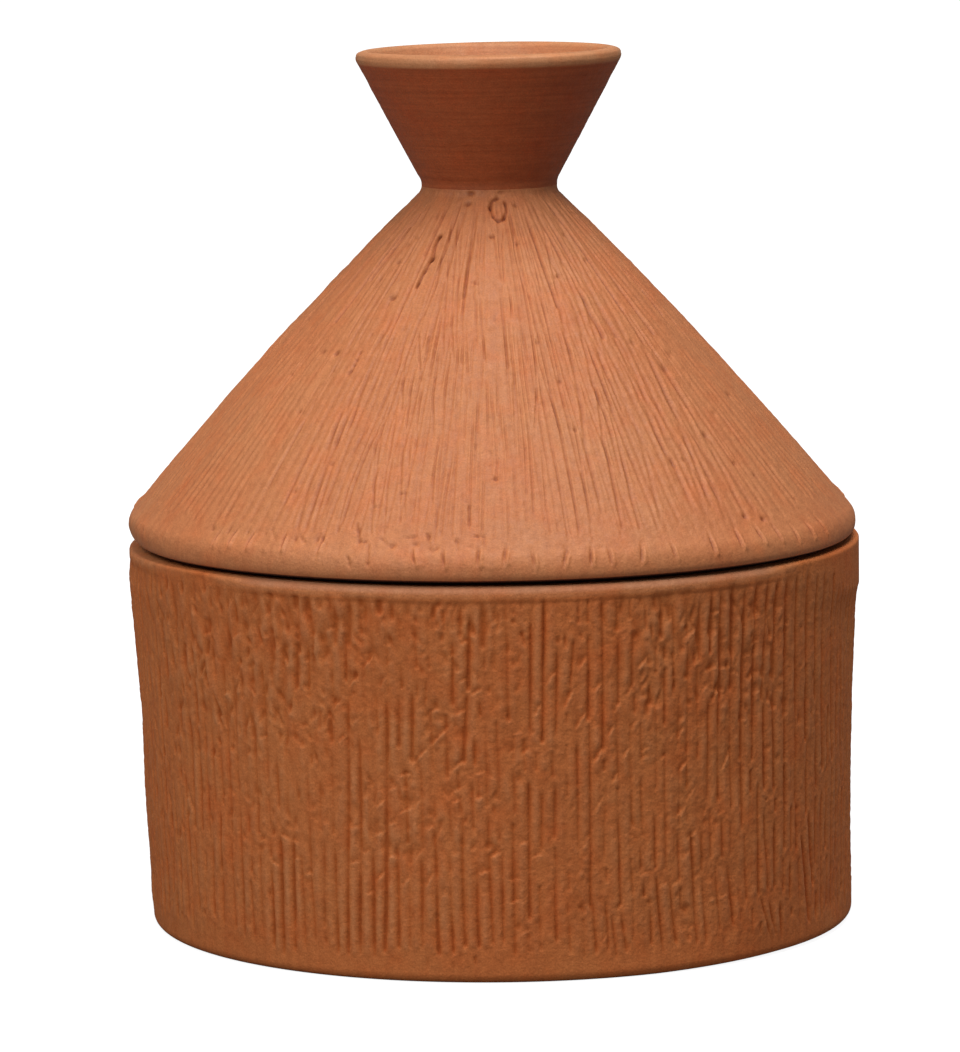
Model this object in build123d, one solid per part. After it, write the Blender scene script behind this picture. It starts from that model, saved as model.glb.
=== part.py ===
from build123d import *
import os
from math import acos, atan, atan2, cos, degrees, hypot, sin, tan

# Terracotta container: a round pot with a lift-off conical lid and a hollow flared knob.
# Millimetres. The origin is the centre of the foot, on the surface that it stands on. +Z is up.

# Pot, its wall and its floor
pot_height = 105.2         # foot to the top of the rim
lip_radius = 100.5         # outside of the smooth lip
lip_height = 4.0           # depth of the smooth lip below the rim
lip_proud = 0.4            # how far the lip stands out of the wall below it
lip_rounding = 2.2         # outer edge of the rim
mouth_rounding = 1.5       # inner edge of the rim
mouth_depth = 14.0         # straight bore below the rim, which takes the lid's flange
wall_thickness = 8.5
wall_hollow = 1.0          # how far the wall bows in between foot and lip
foot_taper = 3.9           # how far the foot stands inside the lip
foot_rounding = 4.5
floor_thickness = 9.0
floor_cove = 7.0           # clay pressed into the corner between floor and wall
comb_count = 44            # main strokes of the comb round the wall
comb_depth = 0.6
comb_tooth = 1.6           # radius of the tooth that drags each stroke
comb_foot = 14.0           # height at which the strokes start
comb_margin = 2.5          # plain clay between the strokes and the lip

# Lid, its cone
lid_setback = 1.0          # lid edge inside the pot's lip
lid_edge_rounding = 4.4
seat_gap = 1.1             # shadow gap between the lid's edge and the pot's rim
cone_height = 95.6         # underside of the lid to the seat of the knob
cone_bulge = 1.3           # how far the cone bows out between its edge and the neck
cone_thickness = 8.0
crown_thickness = 9.0      # closed top of the cone, below the knob
boss_height = 1.4          # short upright stub on the cone, below the knob
boss_fillet = 3.0

# Lid, its flange
flange_clearance = 1.5     # flange to the pot's bore
flange_thickness = 6.0
flange_depth = 10.0        # how far the flange reaches below the pot's rim
flange_rounding = 1.5
seat_width = 1.8           # ring of contact between the flange's land and the pot's rim

# Lid, its knob
neck_radius = 18.5         # waist between knob and cone
neck_height = 1.6          # upright stretch of the knob above its seat
neck_fillet = 6.0
knob_height = 37.2         # seat of the knob to the top of its lip
knob_rim_radius = 35.8
knob_wall = 4.6
cup_floor = 9.0            # seat of the knob to the floor of its cup
cup_fillet = 8.0

# Largest share of the edge beside it that a rounding may take up
rounding_share = 0.9

# Sizes that several pieces share
foot_radius = lip_radius - foot_taper
mouth_radius = lip_radius - lip_proud - wall_thickness
lid_radius = lip_radius - lid_setback
underside = pot_height + seat_gap
knob_seat = underside + cone_height
flange_outer = mouth_radius - flange_clearance
flange_inner = flange_outer - flange_thickness
land_radius = mouth_radius + mouth_rounding + seat_width


def turned(outline, corners=()):
    """Revolve a closed outline of (radius, height), with each (point, radius) corner rounded."""
    face = make_face(outline)
    for point, radius in corners:
        corner = face.vertices().sort_by_distance(point)[0]
        face = fillet(corner, radius)
    return revolve(Plane.XZ * face, Axis.Z)


def touch_bearing(point, centre, radius, side):
    """Bearing from a rounding's centre to where a straight run from the point touches it."""
    across = point[0] - centre[0]
    up = point[1] - centre[1]
    return atan2(up, across) + side * acos(radius / hypot(across, up))


def on_rounding(centre, radius, bearing):
    """Point of a rounding at a bearing from its centre."""
    return centre[0] + radius * cos(bearing), centre[1] + radius * sin(bearing)


def comb_strokes(wall_line, wall_height):
    """Round teeth of a comb, drawn along the wall's outside and spaced evenly round it."""
    stroke = wall_line.trim(comb_foot / wall_height, 1 - comb_margin / wall_height)
    path = Plane.XZ * Pos(comb_tooth - comb_depth, 0) * stroke
    tooth = sweep(Plane(path @ 0, z_dir=path % 0) * Circle(comb_tooth), path)
    full_turn = 360
    half_spacing = full_turn / comb_count / 2
    return [place * tooth for place in PolarLocations(0, comb_count, half_spacing)]


def pot_pieces():
    """Turn the pot whole, comb its wall, then part it at the floor's upper face into wall and floor."""
    lip_base = pot_height - lip_height
    shoulder = (lip_radius - lip_proud, lip_base)
    lip_start = (lip_radius, lip_base + lip_proud)
    rim_edge = (lip_radius, pot_height)
    mouth_edge = (mouth_radius, pot_height)
    mouth_end = (mouth_radius, pot_height - mouth_depth)
    foot_edge = (foot_radius, 0)
    inside_radius = foot_radius - wall_thickness
    cove_top = (inside_radius, floor_thickness + floor_cove)
    cove_toe = (inside_radius - floor_cove, floor_thickness)
    wall_line = SagittaArc(foot_edge, shoulder, wall_hollow)
    outline = [
        Polyline((0, floor_thickness), (0, 0), foot_edge),
        wall_line,
        Polyline(shoulder, lip_start, rim_edge, mouth_edge, mouth_end),
        SagittaArc(mouth_end, cove_top, -wall_hollow),
        Polyline(cove_top, cove_toe, (0, floor_thickness)),
    ]
    corners = [
        (foot_edge, foot_rounding),
        (rim_edge, min(lip_rounding, rounding_share * (lip_height - lip_proud))),
        (mouth_edge, mouth_rounding),
    ]
    pot = turned(outline, corners) - comb_strokes(wall_line, lip_base)
    parting = Plane.XY.offset(floor_thickness)
    return split(pot, parting, Keep.TOP), split(pot, parting, Keep.BOTTOM)


def cone_piece():
    """Hollow cone with a rounded edge, a flat underside for the flange and a boss for the knob."""
    edge_centre = (lid_radius - lid_edge_rounding, underside + lid_edge_rounding)
    neck_foot = (neck_radius, knob_seat - boss_height)
    straight = touch_bearing(neck_foot, edge_centre, lid_edge_rounding, -1)
    edge_point = on_rounding(edge_centre, lid_edge_rounding, straight)
    slope_length = hypot(edge_point[0] - neck_foot[0], edge_point[1] - neck_foot[1])
    bowed = straight - 2 * atan(2 * cone_bulge / slope_length)
    edge_end = on_rounding(edge_centre, lid_edge_rounding, bowed)

    # The inside runs parallel to the straight slope, one thickness in
    inner_point = on_rounding(edge_centre, lid_edge_rounding - cone_thickness, straight)
    ceiling = knob_seat - crown_thickness
    ceiling_radius = inner_point[0] - (ceiling - inner_point[1]) * tan(straight)
    step_height = inner_point[1] + (inner_point[0] - flange_inner) / tan(straight)
    quarter_turn = 90
    outline = [
        Polyline((0, ceiling), (0, knob_seat), (neck_radius, knob_seat), neck_foot),
        TangentArc(edge_end, neck_foot, tangent=(-sin(bowed), cos(bowed))),
        CenterArc(edge_centre, lid_edge_rounding, -quarter_turn, quarter_turn + degrees(bowed)),
        Polyline(
            (edge_centre[0], underside),
            (flange_inner, underside),
            (flange_inner, step_height),
            (ceiling_radius, ceiling),
            (0, ceiling),
        ),
    ]
    half_bend = tan(straight / 2)
    return turned(outline, [(neck_foot, min(boss_fillet, rounding_share * boss_height / half_bend))])


def flange_piece():
    """Ring below the lid: its land rests on the pot's rim and its skirt drops into the mouth."""
    skirt_end = pot_height - flange_depth
    outline = Polyline(
        (flange_inner, underside),
        (land_radius, underside),
        (land_radius, pot_height),
        (flange_outer, pot_height),
        (flange_outer, skirt_end),
        (flange_inner, skirt_end),
        close=True,
    )
    skirt_rounding = min(flange_rounding, rounding_share * flange_thickness / 2)
    corners = [
        ((flange_outer, skirt_end), skirt_rounding),
        ((flange_inner, skirt_end), skirt_rounding),
    ]
    return turned(outline, corners)


def knob_piece():
    """Flared cup with an even wall, a full round lip and a solid foot."""
    knob_top = knob_seat + knob_height
    lip_round = knob_wall / 2
    lip_centre = (knob_rim_radius - lip_round, knob_top - lip_round)
    waist = (neck_radius, knob_seat + neck_height)
    flare = touch_bearing(waist, lip_centre, lip_round, 1)
    lip_outside = on_rounding(lip_centre, lip_round, flare)
    lip_inside = on_rounding(lip_centre, -lip_round, flare)
    cup_bottom = knob_seat + cup_floor
    cup_radius = lip_inside[0] + (lip_inside[1] - cup_bottom) * tan(flare)
    cup_edge = (cup_radius, cup_bottom)
    half_turn = 180
    outline = [
        Polyline((0, cup_bottom), (0, knob_seat), (neck_radius, knob_seat), waist, lip_outside),
        CenterArc(lip_centre, lip_round, degrees(flare), half_turn),
        Polyline(lip_inside, cup_edge, (0, cup_bottom)),
    ]
    half_bend = tan(-flare / 2)
    corners = [
        (waist, min(neck_fillet, rounding_share * neck_height / half_bend)),
        (cup_edge, min(cup_fillet, rounding_share * cup_radius)),
    ]
    return turned(outline, corners)


pot_wall, pot_floor = pot_pieces()
nodes = {
    "pot_wall": pot_wall,
    "pot_floor": pot_floor,
    "lid_cone": cone_piece(),
    "lid_flange": flange_piece(),
    "lid_knob": knob_piece(),
}

os.makedirs("parts", exist_ok=True)
for name, solid in nodes.items():
    export_step(solid, f"parts/{name}.step")
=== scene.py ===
from math import ceil, cos, pi, radians, sin, tau

import bpy
import numpy as np
from mathutils import Matrix, Vector


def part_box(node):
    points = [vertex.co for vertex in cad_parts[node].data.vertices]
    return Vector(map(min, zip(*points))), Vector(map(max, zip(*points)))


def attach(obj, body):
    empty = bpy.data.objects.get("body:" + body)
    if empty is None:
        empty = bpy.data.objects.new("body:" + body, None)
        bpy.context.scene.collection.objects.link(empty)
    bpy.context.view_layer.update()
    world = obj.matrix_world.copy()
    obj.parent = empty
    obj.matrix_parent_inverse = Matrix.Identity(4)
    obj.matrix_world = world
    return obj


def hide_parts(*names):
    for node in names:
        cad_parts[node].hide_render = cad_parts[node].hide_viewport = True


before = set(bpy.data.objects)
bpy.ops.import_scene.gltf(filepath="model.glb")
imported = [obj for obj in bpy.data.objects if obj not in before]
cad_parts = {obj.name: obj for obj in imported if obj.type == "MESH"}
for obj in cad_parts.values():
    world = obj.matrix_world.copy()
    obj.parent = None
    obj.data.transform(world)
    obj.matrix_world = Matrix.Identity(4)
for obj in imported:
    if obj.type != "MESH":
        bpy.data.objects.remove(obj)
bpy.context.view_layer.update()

# Terracotta container: combed pot, combed conical lid, smooth turned knob.
# Lengths are millimetres until a mesh is made. Angles are radians round +Z, with the front at -Y.

mm = 0.001
box = {name: np.array(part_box(name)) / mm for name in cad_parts}
chance = np.random.default_rng(seed=20)

# Sizes read from the frame
rim_height = box["pot_wall"][1][2]
lip_radius = box["pot_wall"][1][0]
floor_height = box["pot_floor"][1][2]
lid_radius = box["lid_cone"][1][0]
underside = box["lid_cone"][0][2]
land_radius = box["lid_flange"][1][0]
skirt_end = box["lid_flange"][0][2]
knob_seat = box["lid_knob"][0][2]
knob_top = box["lid_knob"][1][2]
knob_rim_radius = box["lid_knob"][1][0]

# Sizes of the turned profiles, as in the solids, but with a tighter foot and neck
foot_taper = 3.9
foot_rounding = 2.6
wall_thickness = 8.5
wall_hollow = 1.0
lip_proud = 0.4
lip_height = 4.0
lip_rounding = 2.2
mouth_rounding = 1.5
mouth_depth = 14.0
floor_cove = 7.0
lid_edge_rounding = 4.4
cone_bulge = 1.3
cone_thickness = 8.0
crown_thickness = 9.0
boss_height = 1.4
boss_fillet = 3.0
flange_clearance = 1.5
flange_thickness = 6.0
flange_rounding = 1.5
neck_radius = 18.5
neck_height = 1.6
neck_fillet = 5.8
knob_wall = 4.6
cup_floor = 9.0
cup_fillet = 8.0
mouth_radius = lip_radius - lip_proud - wall_thickness

# The hand-made pot leans a little to one side of its lid, and the lid and the knob aren't quite true either
pot_lean = 0.016
lid_sway_heights = (107, 114, 150, 180, 202, 239)
lid_sway_shifts = (0.1, -0.45, -0.45, -0.05, 0.3, 0.4)
knob_tilt = 0.004

# No mark of the skin stands further out, so that it stays inside the solids' box
outer_limit = 100.43

# Camera of the photograph
image_width = 960
image_height = 1052
sensor_width = 36.0
focal_px = 6060.1
camera_distance = 1650.0
camera_height = 328.7
camera_yaw = -0.0021
camera_pitch = 0.1330
camera_roll = -0.0130

view_forward = np.array([
    cos(camera_pitch) * sin(camera_yaw),
    cos(camera_pitch) * cos(camera_yaw),
    -sin(camera_pitch),
])
view_side = np.array([cos(camera_yaw), -sin(camera_yaw), 0.0])
view_up = np.cross(view_side, view_forward)
image_right = cos(camera_roll) * view_side + sin(camera_roll) * view_up
image_up = cos(camera_roll) * view_up - sin(camera_roll) * view_side
camera_place = np.array([0.0, -camera_distance, camera_height])


def pixel_of(points):
    """Pixels of the photograph at which points of the object show."""
    seen = points - camera_place
    depth = seen @ view_forward
    across = image_width / 2 + focal_px * (seen @ image_right) / depth
    down = image_height / 2 - focal_px * (seen @ image_up) / depth
    return np.stack([across, down], axis=-1)


# Curves

def ramp(value, start, end):
    """0 up to the start, 1 from the end on, and a straight rise between them."""
    return np.clip((value - start) / (end - start), 0, 1)


def hump(value, middle, width):
    """1 at the middle, and less and less over the width on both sides."""
    return np.exp(-((value - middle) / width) ** 2)


def soft_step(value):
    """0 well below zero and 1 well above it."""
    far = 40
    return 1 / (1 + np.exp(-np.clip(value, -far, far)))


# Profiles

def run(start, end, step):
    """Points from start up to, but not with, end."""
    start, end = np.array(start), np.array(end)
    count = max(1, ceil(np.linalg.norm(end - start) / step))
    return start + (end - start) * (np.arange(count) / count)[:, None]


def bow(start, end, sagitta, step):
    """Shallow arc from start up to, but not with, end. It bows to the right of its way."""
    points = run(start, end, step)
    way = np.array(end) - np.array(start)
    share = (np.arange(len(points)) / len(points))[:, None]
    right = np.array([way[1], -way[0]]) / np.linalg.norm(way)
    return points + 4 * sagitta * share * (1 - share) * right


def arc(centre, radius, first, last, count):
    """So many points of a circle from one angle to another."""
    turns = np.linspace(first, last, count)
    return centre + radius * np.stack([np.cos(turns), np.sin(turns)], axis=1)


def bend(before, corner, after, radius, step):
    """Rounded corner of a profile, from where it leaves one straight run to where it meets the next."""
    before, corner, after = (np.array(p, float) for p in (before, corner, after))
    into = (corner - before) / np.linalg.norm(corner - before)
    out = (after - corner) / np.linalg.norm(after - corner)
    turn = np.arctan2(into[0] * out[1] - into[1] * out[0], into @ out)
    first = corner - radius * np.tan(abs(turn) / 2) * into
    centre = first + radius * np.sign(turn) * np.array([-into[1], into[0]])
    spoke = first - centre
    start = np.arctan2(spoke[1], spoke[0])
    fewest = 2
    return arc(centre, radius, start, start + turn, max(fewest, ceil(abs(turn) * radius / step)) + 1)


def profile_normals(points):
    """Outward normals of a profile that runs with its outside on the right."""
    way = np.gradient(points, axis=0)
    normals = np.stack([way[:, 1], -way[:, 0]], axis=1)
    return normals / np.linalg.norm(normals, axis=1, keepdims=True)


def lengths_along(points):
    """How far along a line each of its points lies."""
    return np.concatenate([[0.0], np.cumsum(np.linalg.norm(np.diff(points, axis=0), axis=1))])


def resampled(points, count):
    """The same line with so many evenly spaced points."""
    lengths = lengths_along(points)
    places = np.linspace(0, lengths[-1], count)
    return np.stack([np.interp(places, lengths, points[:, k]) for k in (0, 1)], axis=1)


# Height fields on a turned surface

columns = 2048
step_angle = tau / columns
column_angle = np.arange(columns) * step_angle
front_angle = 1.5 * pi
from_front = np.degrees((column_angle - front_angle + pi) % tau - pi)


def around(turns, shares):
    """A share for each column, from the shares at some turns from the front, in degrees."""
    return np.interp(from_front, turns, shares)


class Skin:
    """A worked stretch of a turned profile: rows along it, columns round it, and a height for each.

    Two profiles are given. Each column lies between them by its share of the second.
    """

    def __init__(self, points, other, share, shift):
        self.normals = profile_normals(points)
        self.radius = points[:, 0]
        self.along = lengths_along(points)
        blend = points[:, None, :] + share[None, :, None] * (other - points)[:, None, :]
        self.out, self.tall = blend[..., 0], blend[..., 1]
        self.height = np.zeros(self.out.shape)
        flat = [self.out * np.cos(column_angle) + shift(self.tall), self.out * np.sin(column_angle)]
        self.pixels = pixel_of(np.stack(flat + [self.tall], axis=-1))
        self.pixels[:, np.sin(column_angle) >= 0] = np.inf

    def spot(self, pixel):
        """Distance along and angle round the skin where the photograph shows a pixel."""
        away = np.abs(self.pixels[..., 0] - pixel[0]) + np.abs(self.pixels[..., 1] - pixel[1])
        row, column = np.unravel_index(np.argmin(away), away.shape)
        return self.along[row], column_angle[column]

    def patch(self, along, angle, reach):
        """Rows and columns near a spot, with their distances along and across from it."""
        rows = np.flatnonzero(np.abs(self.along - along) < reach)
        most = pi - 0.1
        half = ceil(min(most, reach / self.radius[rows].min()) / step_angle)
        wide = round(angle / step_angle) + np.arange(-half, half + 1)
        across = (wide * step_angle - angle)[None, :] * self.radius[rows][:, None]
        up = np.broadcast_to((self.along[rows] - along)[:, None], across.shape)
        return np.ix_(rows, wide % columns), up, across


def softness(shape, rows, cols):
    """Weights of a field's waves that smooth it over so many rows and columns."""
    down = np.fft.fftfreq(shape[0])[:, None]
    along = np.fft.rfftfreq(shape[1])[None, :]
    return np.exp(-2 * (pi * down * rows) ** 2 - 2 * (pi * along * cols) ** 2)


def smooth_noise(shape, rows, cols, source=chance):
    """Even noise of unit spread, smooth over so many rows and columns, that closes on itself."""
    waves = np.fft.rfft2(source.standard_normal(shape)) * softness(shape, rows, cols)
    waves[0, 0] = 0
    field = np.fft.irfft2(waves, shape)
    return field / field.std()


def blurred(field, rows, cols):
    """A field smoothed over so many rows and columns. Its ends are mirrored, its sides meet."""
    tall = np.concatenate([field, field[::-1]])
    waves = np.fft.rfft2(tall) * softness(tall.shape, rows, cols)
    return np.fft.irfft2(waves, tall.shape)[:len(field)]


def roughen(skin, *layers):
    """Add unevenness in layers, each with its height and the rows and columns over which it is smooth."""
    for amount, rows, cols in layers:
        skin.height += amount * smooth_noise(skin.height.shape, rows, cols)


def line_noise(count, reach):
    """Noise of unit spread along a line of rows."""
    return smooth_noise((2 * count + 2, 2), reach, 0)[:count, 0]


def dent(skin, along, angle, length, width, depth, lean=0.0):
    """Press a rounded pit or a slim crack, or with a negative depth raise a lump."""
    sizes_away = 2.2
    where, up, across = skin.patch(along, angle, sizes_away * max(length, width))
    long_way = up * cos(lean) + across * sin(lean)
    short_way = across * cos(lean) - up * sin(lean)
    skin.height[where] -= depth * hump(long_way, 0, length) * hump(short_way, 0, width)


def chip(skin, along, angle, length, depth, slant):
    """Slanted end of a stroke: a dark recess above it and a raised edge below it that catches the light."""
    margin = 3.0
    recess_height = 1.3
    recess_share = 1.35
    edge_height = 1.2
    edge_share = 0.65
    where, up, across = skin.patch(along, angle, length + margin)
    long_way = up * sin(slant) + across * cos(slant)
    above = up * cos(slant) - across * sin(slant)
    ends = np.exp(-(2 * long_way / length) ** 4)
    recess = np.where(above > 0, np.exp(-above / recess_height), 0.0)
    edge = np.where(above <= 0, np.exp(above / edge_height), 0.0)
    skin.height[where] += depth * ends * (edge_share * edge - recess_share * recess)


def furrow(skin, stops, depth, width, burr, sway=0.12, band=1.9, core=0.0, free=None, unsteady=1.0):
    """Draw one tooth of a comb over the skin, through (distance along, angle) stops from low to high.

    The clay that it pushes aside stands up as a burr on both sides, band widths away. The core is the share
    of the depth that the narrow tip of the tooth cuts. Nothing is drawn where free is 0.
    """
    bite = 1.2
    lift = 3.0
    lifted = 0.1
    full_radius = 50.0
    slimmest = 0.75
    tip_share = 0.45
    bands_away = 1.9
    drift_rows = 14
    press_rows = 12
    tremble_rows = 3
    press_limits = (0.3, 1.6)
    stops = np.array(sorted(stops))
    low, high = stops[0][0], stops[-1][0]
    rows = np.flatnonzero((skin.along >= low) & (skin.along <= high))
    count = len(rows)
    if count < 3:
        return
    along = skin.along[rows]
    radius = skin.radius[rows]
    way = np.interp(along, stops[:, 0], stops[:, 1]) + sway * line_noise(count, drift_rows) / radius
    middle = np.round(way / step_angle).astype(int)
    shaky = 0.24 * line_noise(count, press_rows) + 0.12 * line_noise(count, tremble_rows)
    press = np.clip(1 + unsteady * shaky, *press_limits)
    press *= ramp(along, low, low + bite) * np.clip((high - along) / lift, lifted, 1)
    if free is not None:
        press *= free[rows, middle % columns]
    wide = width * np.clip(radius / full_radius, slimmest, 1)
    half = ceil(bands_away * band * width / radius.min() / step_angle)
    cols = middle[:, None] + np.arange(-half, half + 1)
    away = np.abs(cols * step_angle - way[:, None]) * (radius / wide)[:, None]
    cut = (1 - core) * hump(away, 0, 1) + core * hump(away, 0, tip_share)
    cut -= burr * hump(away, band, tip_share * band)
    skin.height[rows[:, None], cols % columns] -= depth * press[:, None] * cut


def keep_clear(skin, stops, free, reach):
    """Keep later strokes away from one that is drawn already."""
    overrun = 2
    stops = np.array(sorted(stops))
    rows = np.flatnonzero((skin.along >= stops[0][0] - overrun) & (skin.along <= stops[-1][0] + overrun))
    way = np.interp(skin.along[rows], stops[:, 0], stops[:, 1])
    half = ceil(reach / lip_radius / step_angle)
    cols = np.round(way / step_angle).astype(int)[:, None] + np.arange(-half, half + 1)
    free[rows[:, None], cols % columns] = 0


def dab(skin, along, angle, depth):
    """Short touch of a tool: a narrow nick with a crumb of clay pushed up at its foot."""
    length = chance.uniform(0.9, 2.3)
    width = chance.uniform(0.4, 0.75)
    lean = chance.normal(0, 0.3)
    aside = chance.normal(0.1, 0.3) / lip_radius
    dent(skin, along, angle, length, width, depth, lean)
    dent(skin, along - 1.2 * length, angle + aside, length=0.6, width=0.8, depth=-0.38 * depth)


def crumble(skin, count, low, high, sizes, longest, unevenness):
    """Scatter crumbs and pits all round the skin, between two distances along it."""
    mean_depth = 0.06
    for _ in range(count):
        size = chance.uniform(*sizes)
        along = chance.uniform(low, high)
        angle = chance.uniform(0, tau)
        length = size * chance.uniform(1, longest)
        dent(skin, along, angle, length, size, chance.normal(mean_depth, unevenness))


# The pot. Places in the tables are pixels of the photograph, other sizes hundredths of a millimetre.

hundredth = 0.01

# Furrows: x and y of the upper end, of the lower end, and depth
wall_furrows = [
    (193, 588, 200, 602, 40), (209, 588, 212, 602, 35), (295, 650, 294, 692, 60), (306, 643, 307, 693, 55),
    (331, 650, 331, 700, 25), (343, 622, 344, 684, 50), (174, 835, 174, 895, 28), (180, 850, 182, 906, 28),
    (206, 850, 206, 906, 35), (213, 838, 214, 916, 42), (220, 810, 221, 873, 50), (222, 873, 224, 925, 32),
    (252, 840, 252, 873, 30), (272, 864, 273, 948, 50), (281, 834, 283, 956, 80), (293, 836, 294, 952, 62),
    (324, 838, 324, 930, 30), (335, 842, 337, 956, 45), (347, 702, 347, 956, 50), (358, 735, 360, 956, 55),
    (372, 848, 374, 958, 50), (386, 702, 384, 955, 62), (398, 696, 398, 750, 50), (397, 845, 398, 950, 42),
    (411, 686, 411, 764, 55), (416, 678, 416, 702, 35), (409, 850, 410, 950, 20), (421, 856, 422, 950, 45),
    (425, 676, 425, 702, 25), (434, 826, 438, 956, 58), (448, 848, 452, 955, 50), (452, 638, 452, 708, 40),
    (468, 618, 467, 692, 95), (466, 690, 463, 764, 60), (461, 832, 464, 950, 42), (474, 736, 474, 768, 38),
    (475, 860, 478, 950, 42), (478, 698, 479, 718, 35), (488, 848, 492, 946, 45), (493, 678, 493, 714, 22),
    (502, 848, 503, 946, 32), (472, 783, 473, 832, 38), (460, 798, 462, 850, 32), (487, 813, 487, 850, 32),
    (513, 768, 514, 816, 42), (513, 728, 513, 764, 32), (530, 616, 529, 733, 52), (528, 778, 529, 922, 58),
    (543, 602, 542, 744, 65), (541, 788, 541, 852, 45), (555, 783, 553, 840, 32), (556, 638, 556, 738, 48),
    (572, 638, 568, 698, 45), (576, 740, 577, 850, 32), (587, 630, 587, 722, 52), (588, 724, 591, 912, 48),
    (602, 598, 602, 752, 58), (617, 638, 617, 706, 42), (616, 708, 617, 780, 38), (604, 778, 604, 862, 22),
    (632, 626, 632, 692, 42), (634, 688, 634, 716, 28), (648, 683, 648, 706, 50), (567, 898, 570, 955, 32),
    (605, 898, 608, 955, 32), (611, 913, 617, 960, 38), (592, 898, 596, 955, 32), (620, 913, 626, 955, 32),
    (639, 843, 640, 872, 42), (650, 903, 651, 946, 38), (656, 876, 663, 955, 48), (668, 876, 676, 946, 48),
    (676, 833, 680, 882, 42), (690, 828, 697, 945, 48), (702, 878, 706, 945, 42), (714, 864, 720, 932, 42),
    (727, 864, 734, 926, 48), (744, 828, 746, 902, 32), (757, 778, 758, 896, 48), (763, 808, 768, 892, 48),
    (773, 818, 774, 890, 48), (760, 894, 773, 946, 58), (768, 898, 778, 944, 42), (780, 900, 782, 942, 52),
    (790, 858, 790, 902, 32), (801, 833, 810, 925, 58), (808, 813, 813, 886, 58), (825, 778, 826, 850, 35),
    (835, 758, 836, 862, 28), (700, 598, 699, 662, 32), (711, 592, 709, 656, 58), (721, 588, 719, 702, 48),
    (733, 586, 730, 692, 48), (745, 585, 741, 762, 52), (757, 582, 752, 762, 52), (767, 581, 762, 702, 42),
    (777, 580, 772, 682, 48), (787, 578, 784, 762, 48), (797, 574, 795, 762, 48), (807, 572, 805, 742, 52),
    (816, 570, 814, 702, 48), (823, 568, 822, 772, 42), (832, 565, 831, 762, 38), (841, 562, 840, 782, 32),
    (708, 698, 708, 802, 42), (718, 698, 718, 802, 48), (730, 696, 731, 812, 42), (741, 758, 741, 832, 42),
    (763, 700, 763, 792, 42), (773, 690, 773, 792, 42), (784, 758, 784, 852, 42), (795, 758, 796, 852, 42),
    (806, 740, 806, 816, 42), (815, 700, 816, 790, 38), (696, 660, 697, 760, 25), (686, 600, 686, 640, 35),
    (660, 600, 660, 640, 45), (645, 600, 646, 632, 35), (672, 600, 673, 690, 30),
]

# Short strokes below the lip: x and y of the upper end, y of the lower end, and depth
lip_strokes = [
    (150, 572, 596, 35), (165, 574, 592, 45), (181, 578, 594, 50), (192, 580, 604, 30), (203, 582, 594, 50),
    (216, 584, 606, 35), (229, 586, 602, 30), (241, 588, 610, 40), (254, 589, 604, 35), (267, 592, 616, 50),
    (280, 592, 606, 30), (293, 591, 612, 45), (306, 594, 614, 50), (319, 596, 612, 35), (333, 600, 648, 50),
    (347, 600, 648, 55), (364, 600, 640, 45), (377, 598, 618, 50), (392, 600, 622, 40), (408, 600, 618, 45),
    (420, 602, 616, 30), (432, 602, 622, 45), (445, 602, 618, 30), (459, 604, 640, 45), (484, 604, 650, 40),
    (498, 604, 622, 40), (512, 604, 616, 30), (191, 646, 666, 35), (252, 660, 684, 45), (272, 628, 652, 35),
    (228, 628, 650, 35), (161, 610, 640, 35), (174, 604, 630, 35), (240, 668, 700, 30), (160, 660, 700, 25),
    (180, 700, 736, 25), (312, 640, 676, 35), (282, 640, 668, 35), (232, 720, 752, 25), (318, 690, 730, 35),
]

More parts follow.
